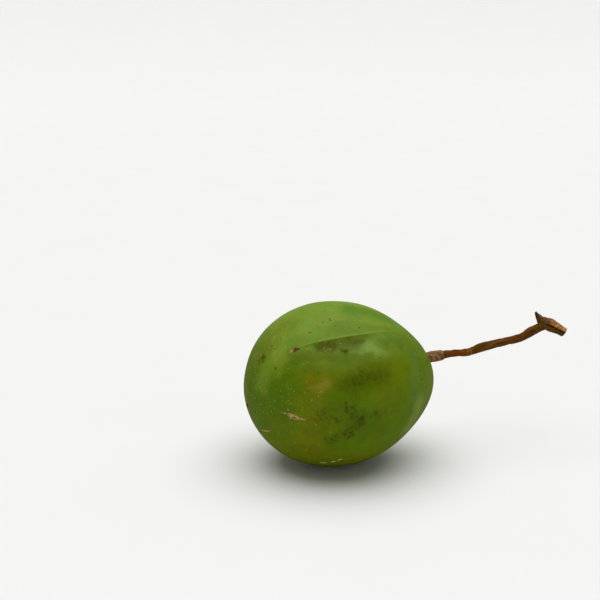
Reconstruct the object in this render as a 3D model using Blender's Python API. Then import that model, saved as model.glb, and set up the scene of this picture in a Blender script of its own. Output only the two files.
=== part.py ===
"""A green ambarella as picked: one fruit, its woody stalk and the stub of twig that came off with it.

The fruit lies on its side on a small flat spot, with +X along its long axis towards the stalk. The origin
is the middle of that flat spot and +Z is up. The long axis and the stalk are measured from the fruit's
centre, which is the middle of its widest section.
"""

import math

import bmesh
import bpy
from mathutils import Euler, Vector
from mathutils.geometry import interpolate_bezier

# Driving dimensions of the fruit, in metres and radians
STALK_HALF = 0.0402  # from the widest section to the stalk end
TIP_HALF = 0.0345  # from the widest section to the blossom tip
SIDE_RADIUS = 0.0346  # half the width of the widest section
TOP_RADIUS = 0.0313  # half its height
STALK_TAPER = 0.20  # how much slimmer than an ellipsoid the shoulder by the stalk is
TIP_FULLNESS = 0.03  # how much fuller than an ellipsoid the blossom end is
STALK_DROP = 0.0014  # how far the stalk end hangs below the long axis
DROP_POWER = 6  # how soon that fades away from the end
FLANK_SHARE = 0.020  # three broad flanks, as a share of the radius
FLANK_TURN = math.radians(-24.5)
AXIS_PITCH = math.radians(4.0)  # the stalk end is a little higher than the tip
FLAT_DEPTH = 0.0005  # how much of the underside the flat spot takes off

# The fold that runs lengthwise along the upper near side, and the faint ribs of the other seed cells
CELLS = 5
RIB_HEIGHT = 0.0003
RIB_WIDTH = math.radians(15.0)
FOLD_AROUND = math.radians(38.0)  # from the top, towards -Y
FOLD_MIDDLE = math.radians(88.0)  # from the stalk end
FOLD_BEND_STALK = 0.42  # how fast its crest leaves the meridian towards the stalk
FOLD_BEND_TIP = 0.24  # and towards the tip
FOLD_START = math.radians(44.0)
FOLD_START_FADE = math.radians(56.0)
FOLD_END = math.radians(128.0)
FOLD_END_FADE = math.radians(20.0)
CREST_HEIGHT = 0.0005
CREST_RISE = 0.006
TROUGH_DEPTH = 0.0005
STEP_WIDTH = 0.0014
TROUGH_WIDTH = 0.012

# The hollow that the stalk stands in and the blossom's dimple, each a little beside its end of the long axis
SOCKET_ALONG = math.radians(11.5)
SOCKET_AROUND = 0.0
SOCKET_RADIUS = 0.0040
SOCKET_DEPTH = 0.0010
BLOSSOM_ALONG = math.radians(169.0)
BLOSSOM_AROUND = math.radians(228.0)
DIMPLE_RADIUS = 0.0030
DIMPLE_DEPTH = 0.0004

# How finely the fruit is divided
RINGS = 47
RING_CROWDING = 0.55
COLUMNS = 60
FOLD_COLUMNS = [math.radians(angle) for angle in (-1.5, 1.5, 3.0, 4.5, 9.0)]

# Middle line of the stalk: x, y, z from the fruit's centre and the radius there, in metres
STALK_LINE = [
    (0.0390, 0.0000, 0.0064, 0.0020),
    (0.0402, 0.0000, 0.0066, 0.0020),
    (0.0422, -0.0002, 0.0070, 0.0019),
    (0.0459, -0.0007, 0.0073, 0.0017),
    (0.0490, -0.0012, 0.0077, 0.0014),
    (0.0521, -0.0019, 0.0079, 0.0014),
    (0.0571, -0.0026, 0.0080, 0.0016),
    (0.0622, -0.0030, 0.0095, 0.0019),
    (0.0704, -0.0029, 0.0106, 0.0016),
    (0.0806, -0.0020, 0.0116, 0.0016),
    (0.0866, -0.0012, 0.0138, 0.0018),
    (0.0930, -0.0002, 0.0153, 0.0016),
]
# The stub of twig that the stalk grew from, from its dried tip to its cut end
TWIG_LINE = [
    (0.0886, 0.0005, 0.0211, 0.0004),
    (0.0901, 0.0003, 0.0187, 0.0013),
    (0.0920, 0.0002, 0.0167, 0.0022),
    (0.0955, -0.0001, 0.0151, 0.0026),
    (0.0991, -0.0010, 0.0131, 0.0020),
    (0.1012, -0.0015, 0.0118, 0.0019),
]
KNUCKLE_AT = 0.0461  # where the stalk's joint ring is, along x
KNUCKLE_STEP = 0.00025  # how much thicker the foot is than the rest
KNUCKLE_WIDTH = 0.0006
WOOD_SIDES = 16
STEPS_BETWEEN_POINTS = 6
OVAL_SHARE = 0.05  # how far the wood's section is from round

SKIN_GREEN = (0.115, 0.215, 0.030, 1.0)
WOOD_BROWN = (0.150, 0.070, 0.028, 1.0)


def smooth_step(low, high, value):
    share = min(1.0, max(0.0, (value - low) / (high - low)))
    return share * share * (3.0 - 2.0 * share)


def clear_scene():
    for obj in list(bpy.data.objects):
        bpy.data.objects.remove(obj)


def make_material(name, colour, roughness):
    material = bpy.data.materials.new(name)
    material.use_nodes = True
    shader = material.node_tree.nodes["Principled BSDF"]
    shader.inputs["Base Color"].default_value = colour
    shader.inputs["Roughness"].default_value = roughness
    shader.inputs["Metallic"].default_value = 0.0
    return material


def section_radii(along):
    """Half width and half height of the fruit's section at this angle from the stalk end."""
    share = math.cos(along)
    taper = 1.0 - (STALK_TAPER if share > 0.0 else -TIP_FULLNESS) * share * share
    size = math.sin(along) * taper
    return SIDE_RADIUS * size, TOP_RADIUS * size


def crest_turn(along):
    """How far the fold's crest has left its meridian."""
    bend = FOLD_BEND_STALK if along < FOLD_MIDDLE else FOLD_BEND_TIP
    return -bend * (along - FOLD_MIDDLE) ** 2


def fold_relief(along, beside):
    """Height of the fold this far below its crest: a slow rise, a sharp drop and a shallow trough."""
    inside = smooth_step(FOLD_START, FOLD_START + FOLD_START_FADE, along)
    inside *= 1.0 - smooth_step(FOLD_END - FOLD_END_FADE, FOLD_END, along)
    if beside < 0.0:
        return inside * CREST_HEIGHT * math.exp(beside / CREST_RISE)
    drop = (1.0 - math.exp(-beside / STEP_WIDTH)) * (CREST_HEIGHT + TROUGH_DEPTH)
    back = smooth_step(STEP_WIDTH, TROUGH_WIDTH, beside) * TROUGH_DEPTH
    return inside * (CREST_HEIGHT - drop + back)


def rib_relief(along, around):
    """Height of the faint ribs over the seed cells, which are evenly spaced from the fold."""
    height = 0.0
    for cell in range(1, CELLS):
        middle = FOLD_AROUND + cell * math.tau / CELLS
        away = (around - middle + math.pi) % math.tau - math.pi
        height += RIB_HEIGHT * math.exp(-((away / RIB_WIDTH) ** 2))
    return height * math.sin(along) ** 2


def bare_point(along, around):
    """A point of the fruit's broad form, without fold, ribs, socket and dimple."""
    half = STALK_HALF if along < math.pi / 2 else TIP_HALF
    half_width, half_height = section_radii(along)
    flank = 1.0 + FLANK_SHARE * math.sin(along) ** 2 * math.cos(3.0 * (around - FLANK_TURN))
    drop = STALK_DROP * max(0.0, math.cos(along)) ** DROP_POWER
    x = half * math.cos(along)
    y = -half_width * flank * math.sin(around)
    z = half_height * flank * math.cos(around) - drop
    return Vector((x, y, z))


def end_relief(along, point):
    """Depth of the stalk's socket, and of the blossom's dimple."""
    if along > math.pi / 2:
        away = (point - bare_point(BLOSSOM_ALONG, BLOSSOM_AROUND)).length
        return -DIMPLE_DEPTH * math.exp(-((away / DIMPLE_RADIUS) ** 2))
    away = (point - bare_point(SOCKET_ALONG, SOCKET_AROUND)).length
    return -SOCKET_DEPTH * math.exp(-((away / SOCKET_RADIUS) ** 3))


def skin_point(along, around):
    """A point of the skin about the fruit's centre.

    along runs from 0 at the stalk end to pi at the blossom tip, around from the top towards -Y.
    """
    half = STALK_HALF if along < math.pi / 2 else TIP_HALF
    point = bare_point(along, around)
    outward = Vector(
        (
            math.cos(along) / half,
            -math.sin(along) * math.sin(around) / SIDE_RADIUS,
            math.sin(along) * math.cos(around) / TOP_RADIUS,
        )
    ).normalized()
    mean_radius = sum(section_radii(along)) / 2
    beside = (around - FOLD_AROUND - crest_turn(along) + math.pi) % math.tau - math.pi
    relief = fold_relief(along, beside * mean_radius) + rib_relief(along, around)
    return point + outward * (relief + end_relief(along, point))


def ring_angles():
    """Angles of the rings from the stalk end to the tip, closer together at both ends."""
    angles = []
    for number in range(RINGS + 1):
        share = number / RINGS
        crowded = share - RING_CROWDING * math.sin(math.tau * share) / math.tau
        angles.append(math.pi * crowded)
    return angles


def column_angles():
    """Angles of the columns from the fold's crest, with some more of them across the fold."""
    even = [math.tau * number / COLUMNS for number in range(COLUMNS)]
    return sorted(even + [angle % math.tau for angle in FOLD_COLUMNS])


def fruit_mesh():
    mesh = bmesh.new()
    columns = column_angles()
    rings = ring_angles()
    stalk_pole = mesh.verts.new(skin_point(0.0, 0.0))
    tip_pole = mesh.verts.new(skin_point(math.pi, 0.0))
    rows = []
    for along in rings[1:-1]:
        turn = FOLD_AROUND + crest_turn(along)
        rows.append([mesh.verts.new(skin_point(along, turn + column)) for column in columns])
    count = len(columns)
    for first, second in zip(rows, rows[1:]):
        for here in range(count):
            after = (here + 1) % count
            mesh.faces.new((first[here], second[here], second[after], first[after]))
    for here in range(count):
        after = (here + 1) % count
        mesh.faces.new((stalk_pole, rows[0][here], rows[0][after]))
        mesh.faces.new((tip_pole, rows[-1][after], rows[-1][here]))
    bmesh.ops.recalc_face_normals(mesh, faces=mesh.faces)
    return mesh


def cut_flat_spot(mesh):
    """Pitches the fruit, cuts FLAT_DEPTH off its underside and puts the flat spot's middle at the origin.

    Returns where the fruit's centre is then.
    """
    bmesh.ops.rotate(mesh, verts=mesh.verts, matrix=Euler((0.0, -AXIS_PITCH, 0.0)).to_matrix())
    lowest = min(vertex.co.z for vertex in mesh.verts)
    centre = Vector((0.0, 0.0, -lowest - FLAT_DEPTH))
    bmesh.ops.translate(mesh, verts=mesh.verts, vec=centre)
    everything = mesh.verts[:] + mesh.edges[:] + mesh.faces[:]
    cut = bmesh.ops.bisect_plane(mesh, geom=everything, plane_no=(0.0, 0.0, -1.0), clear_outer=True)
    rim = [item for item in cut["geom_cut"] if isinstance(item, bmesh.types.BMEdge)]
    flat_spot = bmesh.ops.contextual_create(mesh, geom=rim)["faces"][0]
    middle = flat_spot.calc_center_median_weighted()
    shift = Vector((-middle.x, -middle.y, 0.0))
    bmesh.ops.translate(mesh, verts=mesh.verts, vec=shift)
    bmesh.ops.recalc_face_normals(mesh, faces=mesh.faces)
    return centre + shift


def add_object(name, mesh, material, location=(0.0, 0.0, 0.0)):
    data = bpy.data.meshes.new(name)
    mesh.to_mesh(data)
    mesh.free()
    data.materials.append(material)
    obj = bpy.data.objects.new(name, data)
    obj.location = location
    bpy.context.scene.collection.objects.link(obj)
    data.shade_smooth()
    data.set_sharp_from_angle(angle=math.radians(50.0))
    return obj


def make_fruit():
    mesh = fruit_mesh()
    centre = cut_flat_spot(mesh)
    add_object("fruit", mesh, make_material("skin", SKIN_GREEN, 0.42))
    return centre


def knuckle_relief(x):
    """The foot of the stalk is thicker, up to its joint ring."""
    return KNUCKLE_STEP * (1.0 - smooth_step(KNUCKLE_AT, KNUCKLE_AT + KNUCKLE_WIDTH, x))


def smooth_line(line):
    """Points and radii on the smooth curve through a middle line's own points."""
    points = [Vector(entry[:3]) for entry in line]
    radii = [entry[3] for entry in line]
    slopes = []
    for number in range(len(points)):
        before = points[max(0, number - 1)]
        after = points[min(len(points) - 1, number + 1)]
        slopes.append((after - before) / 6.0)
    stations = []
    for number in range(len(points) - 1):
        start, end = points[number], points[number + 1]
        curve = interpolate_bezier(
            start, start + slopes[number], end - slopes[number + 1], end, STEPS_BETWEEN_POINTS + 1
        )
        for step, point in enumerate(curve[:-1]):
            share = step / STEPS_BETWEEN_POINTS
            blend = smooth_step(0.0, 1.0, share)
            radius = radii[number] * (1.0 - blend) + radii[number + 1] * blend
            stations.append((point, radius + knuckle_relief(point.x)))
    stations.append((points[-1], radii[-1]))
    return stations


def wood_mesh(line):
    """A closed round rod along a middle line, a little oval, with a flat face at each end."""
    mesh = bmesh.new()
    stations = smooth_line(line)
    forward = (stations[1][0] - stations[0][0]).normalized()
    side = forward.cross(Vector((0.0, 0.0, 1.0))).normalized()
    rings = []
    for number, (point, radius) in enumerate(stations):
        before = stations[max(0, number - 1)][0]
        after = stations[min(len(stations) - 1, number + 1)][0]
        forward = (after - before).normalized()
        side = (side - forward * side.dot(forward)).normalized()
        up = side.cross(forward)
        ring = []
        for corner in range(WOOD_SIDES):
            angle = math.tau * corner / WOOD_SIDES
            reach = radius * (1.0 + OVAL_SHARE * math.cos(2.0 * angle + 0.15 * number))
            ring.append(mesh.verts.new(point + (side * math.cos(angle) + up * math.sin(angle)) * reach))
        rings.append(ring)
    for first, second in zip(rings, rings[1:]):
        for here in range(WOOD_SIDES):
            after = (here + 1) % WOOD_SIDES
            mesh.faces.new((first[here], second[here], second[after], first[after]))
    mesh.faces.new(rings[0])
    mesh.faces.new(rings[-1])
    bmesh.ops.recalc_face_normals(mesh, faces=mesh.faces)
    return mesh


def make_stalk(centre):
    """The stalk with the stub of twig joined on, as one grown piece of wood."""
    bark = make_material("bark", WOOD_BROWN, 0.75)
    twig = add_object("twig_stub", wood_mesh(TWIG_LINE), bark, centre)
    twig.hide_render = True
    twig.display_type = "WIRE"
    stalk = add_object("stalk", wood_mesh(STALK_LINE), bark, centre)
    join = stalk.modifiers.new("join_twig", "BOOLEAN")
    join.operation = "UNION"
    join.solver = "EXACT"
    join.object = twig


def main():
    clear_scene()
    make_stalk(make_fruit())


main()
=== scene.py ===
"""The looks of a green ambarella and its stalk: fine skin, bark, a pale floor, soft light and a camera."""

from math import acos, atan2, copysign, cos, hypot, pi, radians, sin, sqrt, tau

import bmesh
import bpy
import numpy as np
from mathutils import Matrix, Vector, noise
from mathutils.geometry import interpolate_bezier


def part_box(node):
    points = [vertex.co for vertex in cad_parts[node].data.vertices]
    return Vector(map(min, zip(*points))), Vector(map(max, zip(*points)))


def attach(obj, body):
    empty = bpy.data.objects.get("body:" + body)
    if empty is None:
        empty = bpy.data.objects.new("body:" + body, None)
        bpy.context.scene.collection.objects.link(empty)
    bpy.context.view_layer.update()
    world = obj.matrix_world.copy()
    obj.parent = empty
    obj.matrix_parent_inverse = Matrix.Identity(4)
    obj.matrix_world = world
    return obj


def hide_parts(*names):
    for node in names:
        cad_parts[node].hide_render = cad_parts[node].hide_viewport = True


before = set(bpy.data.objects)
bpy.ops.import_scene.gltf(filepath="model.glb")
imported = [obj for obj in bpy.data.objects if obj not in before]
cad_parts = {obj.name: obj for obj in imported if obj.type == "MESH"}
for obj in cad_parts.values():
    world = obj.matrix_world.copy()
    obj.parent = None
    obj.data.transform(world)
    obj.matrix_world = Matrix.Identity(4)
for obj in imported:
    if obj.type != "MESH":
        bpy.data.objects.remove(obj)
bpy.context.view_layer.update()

# The vector noise that moves the edges of patches and smudges about starts from this seed
NOISE_SEED = 1
noise.seed_set(NOISE_SEED)

# The photograph, with the place of the fruit's centre in pixels, and the camera in metres and radians
PHOTO_SIZE = 600
CENTRE_PIXEL = (333.8, 384.2)
METRES_PER_PIXEL = 0.000385  # at the fruit's centre
CAMERA_AZIMUTH = radians(-22.0)
CAMERA_ELEVATION = radians(17.0)
CAMERA_DISTANCE = 0.45
SENSOR_WIDTH = 36.0  # millimetres

# The fruit's form in metres and radians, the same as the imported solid's. Its long axis is split at the
# widest place into a half towards the stalk and a half towards the blossom's tip
STALK_HALF = 0.0402
TIP_HALF = 0.0345
SIDE_RADIUS = 0.0346
TOP_RADIUS = 0.0313
STALK_TAPER = 0.20
TIP_FULLNESS = 0.03
STALK_DROP = 0.0014
DROP_POWER = 6
FLANK_SHARE = 0.020
FLANK_TURN = radians(-24.5)
AXIS_PITCH = radians(4.0)
FLAT_RIM = 0.0003  # how softly the flat spot meets the skin

# The lengthwise fold and the faint ribs
CELLS = 5
RIB_HEIGHT = 0.0003
RIB_WIDTH = radians(15.0)
FOLD_AROUND = radians(38.0)
FOLD_MIDDLE = radians(88.0)
FOLD_BEND_TIP = 0.24
FOLD_BEND_STALK = 0.42
FOLD_START = radians(44.0)
FOLD_START_FADE = radians(56.0)
FOLD_END = radians(128.0)
FOLD_END_FADE = radians(20.0)
CREST_HEIGHT = 0.0005
CREST_RISE = 0.006
TROUGH_DEPTH = 0.0005
STEP_WIDTH = 0.0014
TROUGH_WIDTH = 0.012

# The stalk's socket and the blossom's dimple, each a little beside its end of the long axis. Their places
# are degrees along from the stalk end and around from the top
SOCKET = (11.5, 0.0)
SOCKET_RADIUS = 0.0040
SOCKET_DEPTH = 0.0010
BLOSSOM = (169.0, 228.0)
DIMPLE_RADIUS = 0.0030
DIMPLE_DEPTH = 0.0004
WRINKLES = 11
WRINKLE_DEPTH = 0.00012
WRINKLE_RADIUS = 0.00348
WRINKLE_SPREAD = 0.0029

# Gentle swells of the skin: their size in millimetres, their height and where their noise is read
SWELLS = [
    (17.0, 0.00026, (0.0, 0.0, 0.0)),
    (6.5, 0.00007, (7.0, 3.0, 1.0)),
    (2.2, 0.000014, (1.0, 9.0, 4.0)),
]

# How finely the skin is divided, and how much closer together its points are at the ends and the fold
RINGS = 280
RING_CROWDING = 0.35
COLUMNS = 320
FOLD_CROWDING = 5.0
FOLD_CROWDING_WIDTH = radians(9.0)

# Cork scars on the skin: places along each one's middle, in degrees along from the stalk end and around
# from the top, with half its width there in millimetres, and then its thickness in millimetres
SCARS = [
    (
        [
            (131.6, 33.6, 0.06), (129.4, 33.6, 0.36), (127.2, 33.6, 0.80),
            (125.2, 33.6, 0.85), (123.4, 34.5, 0.34), (122.4, 35, 0.06),
        ],
        0.18,
    ),
    ([(131.2, 31.2, 0.06), (129.4, 31.8, 0.24), (127.8, 32.5, 0.30), (126.6, 33, 0.08)], 0.14),
    (
        [
            (146.4, 89.6, 0.05), (144, 90.2, 0.17), (141.6, 90.8, 0.34), (139.2, 91.6, 0.85),
            (137, 92.5, 1.15), (135, 93, 0.85), (132.8, 93.6, 0.50), (129.4, 94.2, 0.10),
        ],
        0.22,
    ),
    ([(158.6, 152.8, 0.14), (157, 146.5, 0.40), (155.2, 138, 0.44), (153.4, 129.6, 0.14)], 0.14),
    ([(114.4, 144.8, 0.08), (112.4, 143.4, 0.30), (110.6, 142, 0.08)], 0.12),
    ([(108.6, 139.8, 0.08), (107.2, 138.6, 0.26), (105.8, 137.6, 0.08)], 0.12),
    ([(105.6, 135.3, 0.08), (104.4, 133.8, 0.26), (103.2, 132.2, 0.08)], 0.12),
    ([(82, 236, 0.06), (79, 238.5, 0.46), (76, 240, 0.80), (72.5, 243, 0.10)], 0.18),
    ([(116, 300, 0.06), (114, 303, 0.40), (112.5, 306, 0.08)], 0.14),
    ([(46, 214, 0.06), (44, 218, 0.34), (43, 222, 0.06)], 0.12),
]
SCAR_STATIONS = 40
SCAR_LANES = 12
SCAR_ROOT = 0.00015  # how deep each one is sunk into the skin
SCAR_LIFT = 0.00002  # how far its thin rim stands above the skin
SCAR_FADE = 0.15  # the share of its length over which each end thins out
SCAR_RAGGED = 0.45  # how far its sides wander, as a share of half its width
SCAR_PITTED = 0.6  # how uneven its thickness is

# The dried style: a round button with a low middle, whose dish and swell are shares of its height
STYLE_RADIUS = 0.0009
STYLE_HEIGHT = 0.00050
STYLE_DISH = 0.55
STYLE_SWELL = 0.6
STYLE_RAGGED = 0.16
STYLE_ROOT = 0.00045
STYLE_RINGS = 8
STYLE_SIDES = 24

# Patches of the skin, some of hue and some of painted highlight and reflection: the places of both ends,
# half the width in millimetres, tone and greatest share
HUE_AND_SHEEN_PATCHES = [
    ((120, 65), (128, 116), 5.5, (108, 112, 6), 0.60),
    ((121, 69), (112, 67), 4.2, (106, 104, 10), 0.50),
    # Painted highlight: a soft pale tan highlight on the olive patch
    ((119.5, 70.5), (114, 68.5), 2, (142, 130, 50), 0.46),
    ((98, 70), (80, 67), 5.2, (74, 88, 5), 0.75),
    ((103, 98), (84, 104), 4.6, (77, 94, 7), 0.55),
    ((145, 60), (144, 92), 4.4, (75, 100, 7), 0.60),
    ((147, 4), (124, 6), 7, (102, 112, 26), 0.50),
    # Painted highlight: the light band over the left shoulder (this row and the next)
    ((128, 12), (136, 26), 5, (118, 136, 46), 0.50),
    ((135, 26), (158, 44), 5, (118, 144, 42), 0.46),
    # Painted reflection: the pale bluish sheen just below the fold
    ((87, 46), (77, 50), 3.6, (114, 144, 70), 0.56),
    ((98, 31), (56, 38), 5, (88, 112, 32), 0.60),
    ((80, 12), (60, 14), 6, (82, 116, 34), 0.70),
    ((131, 131), (118, 122), 4, (104, 98, 5), 0.50),
    ((106, 112), (84, 121), 4.5, (80, 108, 8), 0.55),
    # Painted reflection: paler bluish green along the lower right rim
    ((44, 100), (62, 124), 4.2, (100, 112, 42), 0.55),
    ((128.5, 41), (98.5, 52), 2.8, (76, 94, 6), 0.60),
    ((98.5, 52.5), (83, 56), 2.8, (80, 98, 10), 0.45),
    ((74, 46), (61, 45.8), 3.2, (78, 100, 24), 0.60),
    ((121.2, 54.5), (118, 58), 3, (74, 96, 10), 0.45),
    # Painted highlight: more of the light band on the left shoulder
    ((139.8, 43.8), (133, 36.5), 2.8, (112, 134, 40), 0.50),
    # Painted reflection: paler bluish green down the right side and along the lower right rim (this row and
    # the next)
    ((52.5, 56), (60.5, 90), 3.8, (80, 112, 46), 0.50),
    ((54, 100), (63, 118), 4.4, (120, 134, 60), 0.56),
    ((60, 228), (96, 250), 6.5, (108, 110, 8), 0.45),
    ((112, 286), (84, 300), 5, (76, 98, 8), 0.55),
    ((122, 200), (98, 214), 5, (104, 102, 6), 0.50),
    ((66, 318), (96, 330), 6, (118, 134, 46), 0.45),
    ((44, 176), (58, 150), 4, (108, 112, 30), 0.45),
    ((34, 300), (52, 262), 4.5, (78, 100, 10), 0.50),
    ((146, 262), (138, 304), 4.5, (74, 96, 7), 0.50),
]
# Flecked smudges: the places of both ends, half the width in millimetres and how dense the flecks are
SMUDGES = [
    ((98.5, 70.8), (88, 66.5), 3.2, 0.74), ((88, 66.5), (82, 72), 2.6, 0.70),
    ((105.4, 84.5), (102.2, 87), 1.6, 1.05), ((99.8, 92), (95, 93.6), 1.9, 1.15),
    ((99.6, 98.6), (96.2, 95.8), 1.6, 1.10), ((104.8, 105.6), (101, 101.6), 1.7, 1.20),
    ((121, 92), (112, 91.5), 2.6, 0.78), ((114.8, 110.4), (108, 105), 1.8, 0.85),
    ((130.4, 123), (124.6, 124.2), 1.4, 0.75), ((87, 93.2), (80, 93), 1.6, 0.75),
    ((105, 72), (100, 79), 2.4, 0.45), ((98.2, 46), (96, 48.8), 1.1, 1.35),
    ((89.6, 43.6), (84.6, 41.4), 1.5, 0.40), ((111, 39.4), (103.4, 41.2), 1.8, 0.40),
    ((149.4, 13), (146.4, 16.6), 1.3, 1.15), ((128, 104), (120, 104), 2, 0.50),
    ((101, 204), (93, 212), 1.9, 0.95), ((92, 214), (88, 226), 1.4, 0.80),
    ((75, 250), (68, 258), 1.7, 0.85), ((119, 262), (110, 271), 2.6, 0.65),
    ((60, 188), (54, 196), 1.5, 0.85), ((136, 318), (128, 322), 1.6, 0.75),
    ((50, 322), (44, 334), 1.3, 0.75),
]
# How far the edges of the patches and of the smudges wander, and how large the bays are, in millimetres
PATCH_STRAY = 1.6
PATCH_CLOUD = 3.0
SMUDGE_STRAY = 2.4
SMUDGE_CLOUD = 1.8
# Dark specks: places and radii in millimetres
SPECKS = [
    (112.2, 24.8, 0.46), (97.0, 18.6, 0.36), (97.0, 20.3, 0.34), (96.0, 26.5, 0.28),
    (96.2, 7.8, 0.26), (102.2, 20.5, 0.26), (83.5, 31.8, 0.38), (62.2, 29.0, 0.32),
    (142.5, 39.8, 0.38), (128.2, 46.0, 0.24), (135.2, 41.0, 0.22), (130.3, 15.2, 0.26),
    (137.5, 12.5, 0.30), (137.2, 18.8, 0.30), (157.8, 31.0, 0.26), (162.5, 31.3, 0.34),
    (46.2, 56.8, 0.34), (49.5, 70.2, 0.34), (50.3, 79.0, 0.34), (117.3, 59.3, 0.24),
    (138.5, 96.4, 0.38), (118.2, 35.5, 0.26),
]
# Stains below the fold's crest: the places of both ends, half the width in millimetres and the tone
STAINS = [
    ((108.0, 42.0), (88.0, 44.5), 2.8, (74, 88, 8)),
    ((111.5, 39.5), (103.0, 41.5), 2.1, (68, 68, 5)),
    ((90.0, 43.0), (85.0, 42.2), 1.4, (72, 76, 8)),
]
# Two pale curls in the stains: places and radii in millimetres
CURLS = [((107.8, 42.4), 0.75), ((105.8, 43.2), 0.55)]
# Brown skin round the socket and the style: places, radii in millimetres, tones and greatest shares
BROWN_RINGS = [
    (SOCKET, 4.2, (92, 76, 26), 0.8),
    (BLOSSOM, 3.9, (100, 96, 40), 0.6),
    (BLOSSOM, 1.9, (84, 72, 34), 0.7),
]

# Middle lines of the stalk and of the twig stub: x, y, z from the fruit's centre and the radius there
STALK_LINE = [
    (0.0390, 0.0000, 0.0064, 0.0020), (0.0402, 0.0000, 0.0066, 0.0020), (0.0422, -0.0002, 0.0070, 0.0019),
    (0.0459, -0.0007, 0.0073, 0.0017), (0.0490, -0.0012, 0.0077, 0.0014), (0.0521, -0.0019, 0.0079, 0.0014),
    (0.0571, -0.0026, 0.0080, 0.0016), (0.0622, -0.0030, 0.0095, 0.0019), (0.0704, -0.0029, 0.0106, 0.0016),
    (0.0806, -0.0020, 0.0116, 0.0016), (0.0866, -0.0012, 0.0138, 0.0018), (0.0930, -0.0002, 0.0153, 0.0016),
]
TWIG_LINE = [
    (0.0886, 0.0005, 0.0211, 0.0004), (0.0901, 0.0003, 0.0187, 0.0013), (0.0920, 0.0002, 0.0167, 0.0022),
    (0.0955, -0.0001, 0.0151, 0.0026), (0.0991, -0.0010, 0.0131, 0.0020), (0.1012, -0.0015, 0.0118, 0.0019),
]
KNUCKLE_AT = 0.0461
KNUCKLE_STEP = 0.00025
KNUCKLE_WIDTH = 0.0006
KNUCKLE_LENGTH = 7.3  # the same place along the stalk, in millimetres from its foot
OVAL_SHARE = 0.05
OVAL_TWIST = 0.0375  # radians from one station to the next
WOOD_SIDES = 32
WOOD_STEPS = 24
WOOD_VOXEL = 0.00017

# The bark's ridges, fibres and lumps, and its cracks: how often they vary round the wood, where their noise
# is read, the length in millimetres over which they vary, and their height or depth
BARK_WAVES = [
    (2.6, 0.0, 0.0, 7.0, 0.00015),
    (7.0, 4.0, 0.0, 2.5, 0.00007),
    (0.8, 9.0, 2.0, 2.2, 0.00020),
]
BARK_CRACKS = (1.7, 2.0, 8.0, 4.0, 0.00010)
CRACK_NARROWNESS = 7.0
# The groove of the joint ring, and the long groove in the twig's side
RING_WIDTH = 0.28  # millimetres
RING_DEPTH = 0.00012
GROOVE_TURN = -0.05
GROOVE_WIDTH = 0.20
GROOVE_START = (5.0, 8.0)  # millimetres along the twig
GROOVE_DEPTH = 0.00030
CUT_DEPTH = 0.00012  # how thick a slice of the twig's end counts as its cut
CUT_RELIEF = 0.1  # the share of the bark's relief that the cut keeps
# The stalk's hue at its foot, and where along it each next one begins, in millimetres: orange brown, olive
# brown, red brown, dark brown and brown
FOOT_HUE = (116, 60, 9)
STALK_HUES = [(18.5, (84, 56, 5)), (33.0, (92, 54, 8)), (44.0, (80, 50, 6)), (50.0, (88, 58, 8))]
# Rings and thin cracks round the stalk: places and half widths in millimetres, tones and greatest shares
STALK_RINGS = [
    (KNUCKLE_LENGTH, 0.24, (62, 34, 12), 0.75),
    (9.6, 0.12, (60, 32, 8), 0.5),
    (17.2, 0.12, (150, 112, 66), 0.5),
    (18.6, 0.16, (156, 118, 70), 0.7),
    (20.3, 0.10, (54, 34, 8), 0.6),
    (53.0, 0.14, (40, 24, 6), 0.7),
]

# What is the same all over each surface
SKIN_FINISH = {"Roughness": 0.5, "Specular IOR Level": 0.0, "Coat Weight": 0.08, "Coat Roughness": 0.30}
SCAR_FINISH = {"Roughness": 0.85, "Specular IOR Level": 0.1}
BARK_FINISH = {"Roughness": 0.72, "Specular IOR Level": 0.04}
FLOOR_FINISH = {"Roughness": 0.9, "Specular IOR Level": 0.2}
FLOOR_TONES = [(0.76, 0.76, 0.755, 1.0), (0.78, 0.78, 0.775, 1.0)]

# The floor in metres, the sky and the sun
FLOOR_RADIUS = 2.0
FLOOR_BEND = 4.0
FLOOR_RISE = radians(40.0)
FLOOR_STEPS = 12
FLOOR_SIDES = 96
SKY_COLOUR = (1.0, 1.0, 0.98, 1.0)
SKY_STRENGTH = 0.25
SUN_STRENGTH = 2.9
SUN_ANGLE = radians(80.0)
SUN_FROM = (0.05, 0.05, 1.0)


def smooth_step(low, high, value):
    """A smooth step from 0 to 1, as value goes from low to high."""
    share = np.clip((value - low) / (high - low), 0.0, 1.0)
    return share * share * (3.0 - 2.0 * share)


def linear(red, green, blue):
    """A colour given in the 0 to 255 of a photograph, as the shader takes it."""
    shares = [channel / 255.0 for channel in (red, green, blue)]
    return tuple(s / 12.92 if s <= 0.04045 else ((s + 0.055) / 1.055) ** 2.4 for s in shares) + (1.0,)


# The skin as a formula


def crest_turn(along):
    """How far the fold's crest has left its meridian at this angle from the stalk end."""
    bend = np.where(along < FOLD_MIDDLE, FOLD_BEND_STALK, FOLD_BEND_TIP)
    return -bend * (along - FOLD_MIDDLE) ** 2


def fold_strength(along):
    """How much of the fold there is at this angle from the stalk end, from 0 to 1."""
    start = smooth_step(FOLD_START, FOLD_START + FOLD_START_FADE, along)
    return start * (1.0 - smooth_step(FOLD_END - FOLD_END_FADE, FOLD_END, along))


def beside_fold(along, around, mean_radius):
    """How far below the fold's crest a place is, in metres."""
    turn = (around - FOLD_AROUND - crest_turn(along) + pi) % tau - pi
    return turn * mean_radius


def fold_relief(along, beside):
    """Height of the fold: a rise to its crest, a step down and a way back out of the trough."""
    rise = CREST_HEIGHT * np.exp(np.minimum(beside, 0.0) / CREST_RISE)
    drop = (1.0 - np.exp(-np.maximum(beside, 0.0) / STEP_WIDTH)) * (CREST_HEIGHT + TROUGH_DEPTH)
    back = smooth_step(STEP_WIDTH, TROUGH_WIDTH, beside) * TROUGH_DEPTH
    return fold_strength(along) * (rise - drop + back)


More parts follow.
